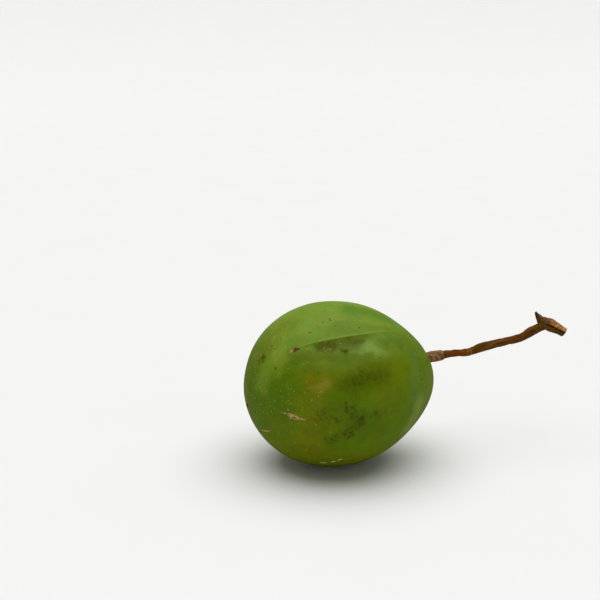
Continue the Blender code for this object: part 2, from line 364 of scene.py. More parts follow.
def rib_relief(along, around):
    """Height of the faint ribs over the other seed cells."""
    height = np.zeros(np.broadcast(along, around).shape)
    for cell in range(1, CELLS):
        middle = FOLD_AROUND + cell * tau / CELLS
        away = (around - middle + pi) % tau - pi
        height = height + RIB_HEIGHT * np.exp(-((away / RIB_WIDTH) ** 2))
    return height * np.sin(along) ** 2


def by_half(along, on_stalk_half, on_tip_half):
    return np.where(np.cos(along) > 0.0, on_stalk_half, on_tip_half)


def section_radii(along):
    """Half width and half height of the fruit's section at this angle from the stalk end."""
    taper = 1.0 - by_half(along, STALK_TAPER, -TIP_FULLNESS) * np.cos(along) ** 2
    size = np.sin(along) * taper
    return SIDE_RADIUS * size, TOP_RADIUS * size


def bare_points(along, around):
    """Points of the fruit's broad form, without fold, ribs, socket and dimple."""
    half_width, half_height = section_radii(along)
    flank = 1.0 + FLANK_SHARE * np.sin(along) ** 2 * np.cos(3.0 * (around - FLANK_TURN))
    drop = STALK_DROP * np.maximum(0.0, np.cos(along)) ** DROP_POWER
    x = by_half(along, STALK_HALF, TIP_HALF) * np.cos(along)
    y = -half_width * flank * np.sin(around)
    z = half_height * flank * np.cos(around) - drop
    return np.stack(np.broadcast_arrays(x, y, z), -1)


def end_relief(along, points):
    """Depth of the stalk's wrinkled socket, and of the blossom's dimple."""
    away = np.linalg.norm(points - bare_points(*np.radians(BLOSSOM)), axis=-1)
    dimple = DIMPLE_DEPTH * np.exp(-((away / DIMPLE_RADIUS) ** 2))
    arm = points - bare_points(*np.radians(SOCKET))
    away = np.linalg.norm(arm, axis=-1)
    socket = SOCKET_DEPTH * np.exp(-((away / SOCKET_RADIUS) ** 3))
    reach = np.exp(-(((away - WRINKLE_RADIUS) / WRINKLE_SPREAD) ** 2))
    turn = np.arctan2(arm[..., 1], arm[..., 2])
    turn = turn + 0.35 * np.sin(2.0 * turn) + 0.2 * np.sin(3.0 * turn + 1.0)  # unevenly spaced
    socket = socket + WRINKLE_DEPTH * reach * np.maximum(0.0, np.cos(WRINKLES * turn)) ** 3
    return -np.where(along > pi / 2, dimple, socket)


def skin(along, around):
    """Points of the skin about the fruit's centre, and the directions that point out of it."""
    along, around = np.broadcast_arrays(np.asarray(along, float), np.asarray(around, float))
    points = bare_points(along, around)
    outward = np.stack(
        [
            np.cos(along) / by_half(along, STALK_HALF, TIP_HALF),
            -np.sin(along) * np.sin(around) / SIDE_RADIUS,
            np.sin(along) * np.cos(around) / TOP_RADIUS,
        ],
        -1,
    )
    outward /= np.linalg.norm(outward, axis=-1, keepdims=True)
    mean_radius = sum(section_radii(along)) / 2
    relief = fold_relief(along, beside_fold(along, around, mean_radius))
    relief = relief + rib_relief(along, around) + end_relief(along, points)
    points = points + outward * relief[..., None]
    pitch = np.array(Matrix.Rotation(-AXIS_PITCH, 3, "Y"))
    return points @ pitch.T, outward @ pitch.T


def skin_place(along_degrees, around_degrees):
    """One place on the skin, in millimetres from the fruit's centre."""
    point, _ = skin(radians(along_degrees), radians(around_degrees))
    return tuple(float(v) * 1000.0 for v in point)


def unevenness(points):
    """Heights of the skin's swells at points in metres."""
    heights = np.zeros(len(points))
    for number, point in enumerate(points):
        place = Vector(point) * 1000.0
        for size, height, shift in SWELLS:
            heights[number] += height * noise.noise(place / size + Vector(shift))
    return heights


def surface(along, around):
    """The skin with its unevenness: points about the fruit's centre, and outward directions."""
    points, outward = skin(along, around)
    flat_points, flat_outward = points.reshape(-1, 3), outward.reshape(-1, 3)
    raised = flat_points + flat_outward * unevenness(flat_points)[:, None]
    return raised.reshape(points.shape), outward


def fruit_centre():
    """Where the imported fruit's centre is, from its box. Its underside is cut flat, so its top gives z."""
    low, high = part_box("fruit")
    along = np.linspace(0.0, pi, 181)[:, None]
    around = np.linspace(0.0, tau, 360, endpoint=False)[None, :]
    points, _ = skin(along, around)
    own_low = points.reshape(-1, 3).min(0)
    own_high = points.reshape(-1, 3).max(0)
    x = (low.x + high.x - own_low[0] - own_high[0]) / 2
    y = (low.y + high.y - own_low[1] - own_high[1]) / 2
    z = high.z - own_high[2]
    return Vector((x, y, z))


CENTRE = fruit_centre()


# Meshes


def add_object(data, location=(0.0, 0.0, 0.0)):
    obj = bpy.data.objects.new(data.name, data)
    obj.location = location
    bpy.context.scene.collection.objects.link(obj)
    return obj


def add_mesh(name, points, faces, location=(0.0, 0.0, 0.0)):
    """A smoothly shaded object of these points and faces."""
    data = bpy.data.meshes.new(name)
    data.from_pydata([tuple(map(float, p)) for p in points], [], faces)
    data.shade_smooth()
    return add_object(data, location)


def add_attributes(obj, **attributes):
    """Attributes of the mesh's points: one value, or one vector of three, for each point."""
    for name, values in attributes.items():
        values = np.asarray(values, np.float32)
        kind, key = ("FLOAT", "value") if values.ndim == 1 else ("FLOAT_VECTOR", "vector")
        obj.data.attributes.new(name, kind, "POINT").data.foreach_set(key, values.ravel())


def tube_faces(start, rings, sides):
    """The faces between rings that follow each other, of which the first begins at start."""
    faces = []
    for here in range(start, start + (rings - 1) * sides, sides):
        there = here + sides
        for side in range(sides):
            after = (side + 1) % sides
            faces.append((here + side, there + side, there + after, here + after))
    return faces


def fan_faces(pole, start, sides, turned=False):
    """The triangles between a pole and the ring that begins at start, facing the other way if turned."""
    pairs = [(start + side, start + (side + 1) % sides) for side in range(sides)]
    return [(pole, *(pair[::-1] if turned else pair)) for pair in pairs]


def face_outward(obj):
    mesh = bmesh.new()
    mesh.from_mesh(obj.data)
    bmesh.ops.recalc_face_normals(mesh, faces=mesh.faces)
    mesh.to_mesh(obj.data)
    mesh.free()


# The skin's mesh and what is painted on it


def stray_places(places, size, reach, octaves):
    """Places moved about by cloudy noise, so that shapes drawn there get uneven edges."""
    drift = [noise.turbulence_vector(Vector(place) / size, octaves, False) for place in places]
    return places + np.array(drift) * reach


def strip_reach(places, first, second, half_width):
    """Distances from the line between two places on the skin, in units of half the strip's width."""
    start, end = np.array(skin_place(*first)), np.array(skin_place(*second))
    arm, way = places - start, end - start
    share = np.clip(arm @ way / (way @ way), 0.0, 1.0)
    return np.linalg.norm(arm - share[:, None] * way, axis=-1) / half_width


def hue_and_sheen_paint(places):
    """The blended tone of the patches, of hue and of painted sheen, at these places, and how much of it
    covers the skin.
    """
    moved = stray_places(places, PATCH_CLOUD, PATCH_STRAY, 3)
    tones = np.zeros((len(places), 3))
    bare = np.ones(len(places))
    for first, second, half_width, tone, most in HUE_AND_SHEEN_PATCHES:
        share = most * smooth_step(1.35, 0.15, strip_reach(moved, first, second, half_width))
        tones = tones * (1.0 - share[:, None]) + share[:, None] * np.array(linear(*tone)[:3])
        bare = bare * (1.0 - share)
    cover = 1.0 - bare
    return tones / np.maximum(cover, 1e-6)[:, None], cover


def smudge_density(places):
    """How close together the smudges' flecks are at these places."""
    moved = stray_places(places, SMUDGE_CLOUD, SMUDGE_STRAY, 4)
    dense = np.zeros(len(places))
    for first, second, half_width, density in SMUDGES:
        reach = strip_reach(moved, first, second, half_width)
        dense = np.maximum(dense, density * smooth_step(2.0, 0.0, reach))
    return dense


def fold_columns():
    """Turns of the columns from the fold's crest, closer together across the fold."""
    turn = np.linspace(-pi, pi, 4001)
    density = 1.0 + FOLD_CROWDING * np.exp(-((turn / FOLD_CROWDING_WIDTH) ** 2))
    passed = np.concatenate([[0.0], np.cumsum((density[1:] + density[:-1]) / 2)])
    wanted = np.arange(COLUMNS) / COLUMNS * passed[-1]
    return np.interp(wanted, passed, turn)


def ring_angles():
    """Angles of the rings from the stalk end, closer together at both ends."""
    share = np.arange(RINGS + 1) / RINGS
    return pi * (share - RING_CROWDING * np.sin(tau * share) / tau)


def settle(points):
    """The points with what lies below the floor pressed flat, with a soft rim."""
    height = points[:, 2] + CENTRE.z
    soft = (height + FLAT_RIM) ** 2 / (4.0 * FLAT_RIM)
    pressed = np.where(height > FLAT_RIM, height, np.where(height < -FLAT_RIM, 0.0, soft))
    return np.column_stack([points[:, :2], pressed - CENTRE.z])


def make_fruit():
    along = ring_angles()[1:-1][:, None]
    around = FOLD_AROUND + crest_turn(along) + fold_columns()[None, :]
    rows, columns = around.shape
    points, _ = surface(along, around)
    poles, _ = surface(np.array([0.0, pi]), np.array([0.0, 0.0]))
    points = settle(np.concatenate([points.reshape(-1, 3), poles]))
    stalk_pole, tip_pole = rows * columns, rows * columns + 1
    faces = tube_faces(0, rows, columns) + fan_faces(stalk_pole, 0, columns)
    faces += fan_faces(tip_pole, (rows - 1) * columns, columns, turned=True)
    obj = add_mesh("fruit_skin", points, faces, CENTRE)
    along_all = np.concatenate([np.broadcast_to(along, around.shape).ravel(), [0.0, pi]])
    around_all = np.concatenate([around.ravel(), [0.0, 0.0]])
    mean_radius = (SIDE_RADIUS + TOP_RADIUS) / 2 * np.sin(along_all)
    tones, cover = hue_and_sheen_paint(points * 1000.0)
    add_attributes(
        obj,
        along=along_all / pi,
        below_fold=beside_fold(along_all, around_all, mean_radius) * 1000.0,
        fold=fold_strength(along_all),
        patch_tone=tones,
        patch_cover=cover,
        smudge=smudge_density(points * 1000.0),
    )
    return obj


# The cork scars and the dried style


def flake_faces(count, rows, width):
    """Faces of a flake's top, bottom and rim: count points on each side, in rows of this width."""
    faces = []
    for row in range(rows - 1):
        for here in range(row * width, row * width + width - 1):
            below = count + here
            faces.append((here, here + 1, here + width + 1, here + width))
            faces.append((below, below + width, below + width + 1, below + 1))
    rim = list(range(width - 1)) + [row * width + width - 1 for row in range(rows - 1)]
    rim += [count - 1 - lane for lane in range(width - 1)]
    rim += [(rows - 1 - row) * width for row in range(rows - 1)]
    for here, after in zip(rim, rim[1:] + rim[:1]):
        faces.append((here, count + here, count + after, after))
    return faces


def scar_mesh(places, thickness, seed):
    """One cork scar as a thin closed flake: its points, its faces and how near each point is to the rim."""
    share = np.linspace(0.0, 1.0, SCAR_STATIONS + 1)
    stops = np.linspace(0.0, 1.0, len(places))
    along, around, half = (np.interp(share, stops, values) for values in zip(*places))
    middle, outward = surface(np.radians(along), np.radians(around))
    sideways = np.cross(outward, np.gradient(middle, axis=0))
    sideways /= np.linalg.norm(sideways, axis=-1, keepdims=True)
    fade = smooth_step(0.0, SCAR_FADE, np.minimum(share, 1.0 - share))
    top, bottom, rims = [], [], []
    for station in range(SCAR_STATIONS + 1):
        for lane in np.linspace(-1.0, 1.0, SCAR_LANES + 1):
            edge = Vector((station * 0.35, seed * 3.7, copysign(2.0, lane)))
            offset = lane * half[station] / 1000.0 * (1.0 + SCAR_RAGGED * noise.noise(edge))
            place = middle[station] + sideways[station] * offset
            pits = noise.noise(Vector((station * 0.6, lane * 1.8, seed * 5.1)))
            crown = thickness / 1000.0 * sqrt(max(0.0, 1.0 - lane * lane)) * fade[station]
            top.append(place + outward[station] * (crown * (0.75 + SCAR_PITTED * pits) + SCAR_LIFT))
            bottom.append(place - outward[station] * SCAR_ROOT)
            rims.append(abs(lane))
    faces = flake_faces(len(top), SCAR_STATIONS + 1, SCAR_LANES + 1)
    return np.array(top + bottom), faces, rims + rims


def style_mesh():
    """The dried stub of the flower's style in the blossom's dimple: a low round button."""
    centre, outward = surface(*np.radians(BLOSSOM)[:, None])
    centre, outward = Vector(centre[0]), Vector(outward[0])
    across = outward.orthogonal().normalized()
    up = outward.cross(across)
    points, rims = [centre + outward * STYLE_HEIGHT * STYLE_DISH], [0.0]
    for ring in range(1, STYLE_RINGS + 1):
        share = ring / STYLE_RINGS
        swell = STYLE_DISH + STYLE_SWELL * sin(pi * share)
        height = STYLE_HEIGHT * swell * (1.0 - share ** 4) - SCAR_ROOT * share ** 6
        for side in range(STYLE_SIDES):
            angle = tau * side / STYLE_SIDES
            edge = Vector((cos(angle), sin(angle), 4.0)) * 2.0
            reach = STYLE_RADIUS * share * (1.0 + STYLE_RAGGED * noise.noise(edge))
            ray = across * cos(angle) + up * sin(angle)
            points.append(centre + ray * reach + outward * height)
            rims.append(share)
    foot, last = len(points), len(points) - STYLE_SIDES
    points.append(centre - outward * STYLE_ROOT)
    rims.append(1.0)
    faces = fan_faces(0, 1, STYLE_SIDES) + tube_faces(1, STYLE_RINGS, STYLE_SIDES)
    return np.array(points), faces + fan_faces(foot, last, STYLE_SIDES, turned=True), rims


def make_scars():
    points, faces, rims = [], [], []
    parts = [scar_mesh(places, thickness, seed) for seed, (places, thickness) in enumerate(SCARS)]
    for part_points, part_faces, part_rims in parts + [style_mesh()]:
        start = len(points)
        points.extend(part_points)
        faces.extend(tuple(corner + start for corner in face) for face in part_faces)
        rims.extend(part_rims)
    obj = add_mesh("fruit_scars", points, faces, CENTRE)
    face_outward(obj)
    add_attributes(obj, rim=rims)
    return obj


# The stalk and the twig stub


def smooth_line(line):
    """Points and radii on the smooth curve through a middle line's own points."""
    points = [Vector(entry[:3]) for entry in line]
    radii = [entry[3] for entry in line]
    before, after = points[:1] + points[:-1], points[1:] + points[-1:]
    slopes = [(there - here) / 6.0 for here, there in zip(before, after)]
    places, sizes = [], []
    for number in range(len(points) - 1):
        start, end = points[number], points[number + 1]
        handles = start + slopes[number], end - slopes[number + 1]
        curve = interpolate_bezier(start, *handles, end, WOOD_STEPS + 1)
        for step, point in enumerate(curve[:-1]):
            blend = float(smooth_step(0.0, 1.0, step / WOOD_STEPS))
            radius = radii[number] * (1.0 - blend) + radii[number + 1] * blend
            beyond = float(smooth_step(KNUCKLE_AT, KNUCKLE_AT + KNUCKLE_WIDTH, point.x))
            places.append(point)
            sizes.append(radius + KNUCKLE_STEP * (1.0 - beyond))
    return places + points[-1:], sizes + radii[-1:]


def wood_rod(name, line):
    """A closed rod along a middle line, and its stations: place, two side directions, radius and length."""
    places, sizes = smooth_line(line)
    side = (places[1] - places[0]).cross(Vector((0.0, 0.0, 1.0))).normalized()
    passed = 0.0
    points, stations = [], []
    for number, (place, radius) in enumerate(zip(places, sizes)):
        before = places[max(0, number - 1)]
        after = places[min(len(places) - 1, number + 1)]
        forward = (after - before).normalized()
        side = (side - forward * side.dot(forward)).normalized()
        up = side.cross(forward)
        passed += (place - before).length
        stations.append((*place, *side, *up, radius, passed))
        for corner in range(WOOD_SIDES):
            angle = tau * corner / WOOD_SIDES
            reach = radius * (1.0 + OVAL_SHARE * cos(2.0 * angle + OVAL_TWIST * number))
            points.append(place + (side * cos(angle) + up * sin(angle)) * reach)
    last = len(points) - WOOD_SIDES
    faces = tube_faces(0, len(places), WOOD_SIDES) + [tuple(range(WOOD_SIDES))]
    faces.append(tuple(last + corner for corner in reversed(range(WOOD_SIDES))))
    obj = add_mesh(name, points, faces, CENTRE)
    face_outward(obj)
    return obj, stations


def join_and_remesh(name, rods):
    """The rods as one skin of even small faces."""
    mesh = bmesh.new()
    for rod in rods:
        mesh.from_mesh(rod.data)
        bpy.data.objects.remove(rod)
    obj = add_mesh(name, [], [], CENTRE)
    mesh.to_mesh(obj.data)
    mesh.free()
    remesh = obj.modifiers.new("fuse", "REMESH")
    remesh.mode = "VOXEL"
    remesh.voxel_size = WOOD_VOXEL
    soften = obj.modifiers.new("soften", "SMOOTH")
    soften.factor = 0.5
    soften.iterations = 3
    depsgraph = bpy.context.evaluated_depsgraph_get()
    fused = bpy.data.meshes.new_from_object(obj.evaluated_get(depsgraph))
    obj.modifiers.clear()
    obj.data = fused
    return obj


def read_vectors(vertices, key):
    values = np.empty(len(vertices) * 3)
    vertices.foreach_get(key, values)
    return values.reshape(-1, 3)


def nearest_stations(points, places, radii):
    """For each point, the number of the station whose rod's surface is nearest."""
    nearest = np.empty(len(points), int)
    for start in range(0, len(points), 2000):
        away = np.linalg.norm(points[start : start + 2000, None] - places[None], axis=-1)
        nearest[start : start + 2000] = np.argmin(away - radii[None], axis=1)
    return nearest


def bark_noise(angle, length, often, x, y, reach):
    """Noise that varies this often round the wood and once in this many millimetres along it."""
    return noise.noise(Vector((cos(angle) * often + x, sin(angle) * often + y, length / reach)))


def bark_relief(angle, length):
    """Heights of the bark's ridges, fibres, lumps and cracks, at turns and lengths in millimetres."""
    relief = np.zeros(len(angle))
    *crack_wave, crack_depth = BARK_CRACKS
    for number, (turn, passed) in enumerate(zip(angle, length)):
        for *wave, height in BARK_WAVES:
            relief[number] += height * bark_noise(turn, passed, *wave)
        crack = 1.0 - CRACK_NARROWNESS * abs(bark_noise(turn, passed, *crack_wave))
        relief[number] -= crack_depth * max(0.0, crack)
    return relief


def make_stalk():
    stalk_rod, stalk_stations = wood_rod("stalk_rod", STALK_LINE)
    twig_rod, twig_stations = wood_rod("twig_rod", TWIG_LINE)
    obj = join_and_remesh("stalk_bark", [stalk_rod, twig_rod])
    stations = np.array(stalk_stations + twig_stations)
    places, sides, ups = stations[:, 0:3], stations[:, 3:6], stations[:, 6:9]
    radii, lengths = stations[:, 9], stations[:, 10] * 1000.0
    points, normals = (read_vectors(obj.data.vertices, key) for key in ("co", "normal"))
    nearest = nearest_stations(points, places, radii)
    arm = points - places[nearest]
    angle = np.arctan2((arm * ups[nearest]).sum(-1), (arm * sides[nearest]).sum(-1))
    length = lengths[nearest]
    twig = nearest >= len(stalk_stations)
    cut_forward = (places[-1] - places[-2]) / np.linalg.norm(places[-1] - places[-2])
    on_cut = twig & ((places[-1] - points) @ cut_forward < CUT_DEPTH)
    ring = np.exp(-(((length - KNUCKLE_LENGTH) / RING_WIDTH) ** 2)) * ~twig
    groove = np.exp(-(((angle - GROOVE_TURN) / GROOVE_WIDTH) ** 2))
    groove = groove * smooth_step(*GROOVE_START, length) * twig
    relief = bark_relief(angle, length) - ring * RING_DEPTH - groove * GROOVE_DEPTH
    points = points + normals * (relief * np.where(on_cut, CUT_RELIEF, 1.0))[:, None]
    obj.data.vertices.foreach_set("co", points.ravel())
    obj.data.shade_smooth()
    off_axis = np.linalg.norm(arm, axis=-1) / radii[nearest]
    turn_x, turn_y = np.cos(angle), np.sin(angle)
    add_attributes(obj, length=length, turn_x=turn_x, turn_y=turn_y, off_axis=off_axis)
    add_attributes(obj, twig=twig, on_cut=on_cut, groove=groove)
    return obj


# Materials


class Shader:
    """A short way to write a material's nodes: a method adds one or a few and returns their output."""

    def __init__(self, name):
        self.material = bpy.data.materials.new(name)
        self.material.use_nodes = True
        self.tree = self.material.node_tree
        self.principled = self.tree.nodes["Principled BSDF"]

    def feed(self, socket, value):
        if isinstance(value, bpy.types.NodeSocket):
            self.tree.links.new(value, socket)
        elif value is not None:
            socket.default_value = value

    def node(self, kind, output, *values, **settings):
        made = self.tree.nodes.new(kind)
        for key, value in settings.items():
            setattr(made, key, value)
        for socket, value in zip(made.inputs, values):
            self.feed(socket, value)
        return made.outputs[output]

    def maths(self, operation, *values):
        return self.node("ShaderNodeMath", 0, *values, operation=operation)

    def times(self, first, second):
        return self.maths("MULTIPLY", first, second)

    def plus(self, first, second):
        return self.maths("ADD", first, second)

    def scaled(self, value, factor, offset):
        return self.maths("MULTIPLY_ADD", value, factor, offset)

    def vector(self, operation, output, *values):
        return self.node("ShaderNodeVectorMath", output, *values, operation=operation)

    def axis(self, place, number):
        """One of a place's three coordinates."""
        return self.node("ShaderNodeSeparateXYZ", number, place)

    def attribute(self, name, output="Fac"):
        return self.node("ShaderNodeAttribute", output, attribute_name=name)

    def place(self, x=0.0, y=0.0, z=0.0):
        """The place on the object in millimetres, moved by x, y and z."""
        coordinates = self.node("ShaderNodeTexCoord", "Object")
        scaled = self.vector("SCALE", 0, coordinates, None, None, 1000.0)
        return self.vector("ADD", 0, scaled, (x, y, z))

    def noise(self, place, size, detail=3.0, rough=0.5, output="Fac"):
        """Cloudy noise from 0 to 1 whose blotches are about this many millimetres across."""
        return self.node("ShaderNodeTexNoise", output, place, None, 1.0 / size, detail, rough)

    def ramp(self, value, low, high, most=1.0, least=0.0):
        """A smooth step from least to most, as value goes from low to high."""
        settings = {"interpolation_type": "SMOOTHSTEP"}
        return self.node("ShaderNodeMapRange", "Result", value, low, high, least, most, **settings)

    def mix(self, share, first, second):
        """A blend of two colours."""
        made = self.tree.nodes.new("ShaderNodeMix")
        made.data_type = "RGBA"
        self.feed(made.inputs["Factor"], share)
        self.feed(made.inputs[6], first)
        self.feed(made.inputs[7], second)
        return made.outputs[2]

    def lay(self, colour, tone, value, low, high, most=1.0, least=0.0):
        """The colour under a tone whose share goes from least to most, as value goes from low to high."""
        return self.mix(self.ramp(value, low, high, most, least), colour, linear(*tone))

    def spot(self, place, centre, radius):
        """Distance from a place on the skin in units of the spot's radius: 1 at its rim."""
        arm = self.vector("SUBTRACT", 0, place, skin_place(*centre))
        return self.maths("DIVIDE", self.vector("LENGTH", 1, arm), radius)

    def strip(self, place, first, second, half_width):
        """Distance from the line between two places on the skin, in units of half the strip's width."""
        start = Vector(skin_place(*first))
        way = Vector(skin_place(*second)) - start
        arm = self.vector("SUBTRACT", 0, place, tuple(start))
        along = self.vector("DOT_PRODUCT", 1, arm, tuple(way / way.length_squared))
        share = self.maths("MINIMUM", self.maths("MAXIMUM", along, 0.0), 1.0)
        nearest = self.vector("SCALE", 0, tuple(way), None, None, share)
        away = self.vector("LENGTH", 1, self.vector("SUBTRACT", 0, arm, nearest))
        return self.maths("DIVIDE", away, half_width)

    def stray(self, place, size, reach, detail=3.0, rough=0.6):
        """The place moved about by cloudy noise, so that shapes drawn there get uneven edges."""
        cloud = self.noise(place, size, detail, rough, "Color")
        drift = self.vector("SUBTRACT", 0, cloud, (0.5, 0.5, 0.5))
        return self.vector("ADD", 0, place, self.vector("SCALE", 0, drift, None, None, reach))

    def tint(self, colour, hue, value):
        """The colour with its hue and its brightness changed a little: 0.5 and 1 leave it as it is."""
        return self.node("ShaderNodeHueSaturation", 0, hue, 1.0, value, 1.0, colour)

    def dots(self, place, spacing, share, radius):
        """Small round dots: about one in each cell of this spacing, of which this share is kept."""
        distance = self.node("ShaderNodeTexVoronoi", "Distance", place, None, 1.0 / spacing)
        kept = self.node("ShaderNodeSeparateColor", "Red", distance.node.outputs["Color"])
        large = kept.node.outputs["Green"]
        size = self.scaled(large, radius / spacing * 0.7, radius / spacing * 0.5)
        near = self.maths("SUBTRACT", 1.0, self.maths("DIVIDE", distance, size))
        return self.times(self.ramp(near, 0.0, 0.35), self.maths("LESS_THAN", kept, share))

    def bump(self, height, strength, distance):
        """Relief finer than the mesh, in the shading alone; the distance is in metres."""
        normal = self.node("ShaderNodeBump", "Normal", strength, distance)
        self.feed(normal.node.inputs["Height"], height)
        self.feed(self.principled.inputs["Normal"], normal)

    def finish(self, colour, settings):
        """The material with this colour, and with the settings that are the same all over it."""
        self.feed(self.principled.inputs["Base Color"], colour)
        for name, value in settings.items():
            self.principled.inputs[name].default_value = value
        return self.material


def paint_hues(shader, place):
    """The skin's broad greens, patches of hue and of painted sheen, and cloudy mottling; also painted top
    light, painted bounce light below, a painted reflection on the right and painted shade at the tip.
    """
    x, y, z = (shader.axis(place, number) for number in range(3))
    clouds = shader.noise(place, 24.0)
    colour = shader.lay(linear(80, 106, 7), (100, 110, 6), clouds, 0.38, 0.62, 0.55, 0.10)
    # Painted top light and sheen: lighter yellow green towards the top
    colour = shader.lay(colour, (112, 140, 48), z, 11.0, 30.0, 0.92)
    # Painted bounce light: lighter olive towards the bottom
    colour = shader.lay(colour, (104, 108, 4), z, -8.0, -30.0, 0.7)
    # Painted reflection: a pale cool green down the right side
    from_edge = shader.maths("SUBTRACT", x, shader.scaled(z, 0.33, 16.0))
    painted_reflection = shader.times(shader.ramp(from_edge, -1.6, 2.2, 0.45), shader.ramp(y, 8.0, -12.0))
    painted_reflection = shader.plus(painted_reflection, shader.ramp(shader.plus(from_edge, y), -8.0, 22.0, 0.30))
    colour = shader.mix(painted_reflection, colour, linear(84, 110, 20))
    # Painted shade: darker green towards the blossom tip
    colour = shader.lay(colour, (70, 92, 5), shader.attribute("along"), 0.78, 0.98, 0.35)
    # The patches, of hue and of painted highlight and reflection
    patch_tone = shader.attribute("patch_tone", "Vector")
    colour = shader.mix(shader.attribute("patch_cover"), colour, patch_tone)
    broad = shader.noise(shader.place(31.0, 7.0, 3.0), 7.0, 4.0)
    middle = shader.noise(shader.place(5.0, 17.0, 23.0), 2.4, 4.0, 0.6)
    fine = shader.noise(place, 0.8, 3.0, 0.7)
    value = shader.scaled(broad, 0.28, 0.86)
    value = shader.plus(value, shader.scaled(middle, 0.36, -0.18))
    value = shader.plus(value, shader.scaled(fine, 0.20, -0.10))
    hue = shader.noise(shader.place(2.0, 41.0, 9.0), 4.5, 4.0)
    return shader.tint(colour, shader.scaled(hue, 0.06, 0.47), value)


def paint_fold(shader, place, colour):
    """The olive strip below the fold's crest, partly stain and partly painted shade, the stains there, and
    the crest's pale line, a painted highlight.
    """
    below = shader.attribute("below_fold")
    fold = shader.attribute("fold")
    # An olive strip just below the crest: partly stain, partly painted shade under the step
    strip = shader.times(shader.ramp(below, -0.1, 0.4), shader.ramp(below, 4.4, 1.2))
    uneven = shader.ramp(shader.noise(place, 4.5, 3.0, 0.6), 0.35, 0.65, 1.0, 0.35)
    strip = shader.times(shader.times(strip, uneven), shader.ramp(fold, 0.50, 1.0, 0.9))
    colour = shader.mix(strip, colour, linear(70, 78, 5))
    uneven_place = shader.stray(place, 2.0, 3.0)
    for first, second, half_width, tone in STAINS:
        stain = shader.strip(uneven_place, first, second, half_width)
        colour = shader.lay(colour, tone, stain, 1.3, 0.2, 0.6)
    # Painted highlight: a pale line along the crest
    crest = shader.times(shader.ramp(below, -0.9, -0.12), shader.ramp(below, 0.10, -0.12))
    crest = shader.times(crest, shader.ramp(fold, 0.0, 0.4, 0.38))
    colour = shader.mix(crest, colour, linear(132, 154, 48))
    for spot, radius in CURLS:
        reach = shader.spot(uneven_place, spot, radius)
        curl = shader.times(shader.ramp(reach, 0.5, 0.85), shader.ramp(reach, 1.35, 1.0))
        colour = shader.mix(shader.times(curl, 0.5), colour, linear(134, 138, 66))
    return colour


def paint_smudges(shader, colour):
    """Smudges: a soft darkening, and ragged flecks that are closest together in the middle."""
    dense = shader.attribute("smudge")
    flecks = shader.noise(shader.place(4.0, 14.0, 24.0), 1.1, 6.0, 0.75)
    flecks = shader.ramp(shader.scaled(dense, 0.25, flecks), 0.63, 0.82)
    colour = shader.mix(shader.times(dense, 0.36), colour, linear(66, 72, 5))
    return shader.mix(shader.times(flecks, 0.72), colour, linear(48, 50, 4))


def pale_dots(shader, place):
    """Where the pale dots are: dense towards the blossom tip, and a few all over."""
    crowd = shader.ramp(shader.attribute("along"), 0.60, 0.80, 0.90)
    small = shader.dots(place, 1.05, crowd, 0.17)
    large = shader.dots(shader.place(6.0, 2.0, 7.0), 2.9, crowd, 0.20)
    all_over = shader.dots(shader.place(3.0, 5.0, 8.0), 4.0, 0.40, 0.17)
    return shader.maths("MAXIMUM", shader.maths("MAXIMUM", small, large), all_over)


def dark_specks(shader, place):
    """Where the dark specks are: scattered ones, mostly on top, and the large ones each in its place."""
    patchy = shader.ramp(shader.noise(shader.place(11.0, 2.0, 5.0), 12.0, 2.0), 0.44, 0.58)
    specks = shader.times(shader.dots(shader.place(9.0, 1.0, 4.0), 2.2, 0.42, 0.22), patchy)
    pepper = shader.dots(shader.place(1.0, 9.0, 2.0), 1.3, 0.42, 0.15)
    pepper = shader.times(pepper, shader.ramp(shader.axis(place, 2), 8.0, 22.0, 0.55))
    specks = shader.maths("MAXIMUM", specks, pepper)
    for *spot, radius in SPECKS:
        speck = shader.ramp(shader.spot(place, spot, radius), 1.25, 0.6)
        specks = shader.maths("MAXIMUM", specks, speck)
    return specks


def skin_material():
    shader = Shader("skin")
    place = shader.place()
    colour = paint_hues(shader, place)
    colour = paint_fold(shader, place, colour)
    colour = paint_smudges(shader, colour)
    pale = pale_dots(shader, place)
    colour = shader.mix(shader.times(pale, 0.75), colour, linear(184, 198, 118))

    # The largest speck has a yellow halo
    halo = shader.spot(place, SPECKS[0][:2], 1.2)
    colour = shader.lay(colour, (150, 122, 22), halo, 1.1, 0.3, 0.60)
    specks = dark_specks(shader, place)
    colour = shader.mix(shader.times(specks, 0.85), colour, linear(40, 36, 6))

    # Brown skin round the stalk's foot and round the style
    rough_rim = shader.stray(place, 1.1, 3.2, 4.0, 0.7)
    for spot, radius, tone, most in BROWN_RINGS:
        reach = shader.spot(rough_rim, spot, radius)
        colour = shader.lay(colour, tone, reach, 1.1, 0.3, most)

    relief = shader.times(shader.noise(place, 0.5, 3.0, 0.6), 0.35)
    relief = shader.plus(relief, shader.times(pale, 1.2))
    relief = shader.maths("SUBTRACT", relief, shader.times(specks, 0.8))
    shader.bump(relief, 0.35, 0.00006)
    return shader.finish(colour, SKIN_FINISH)


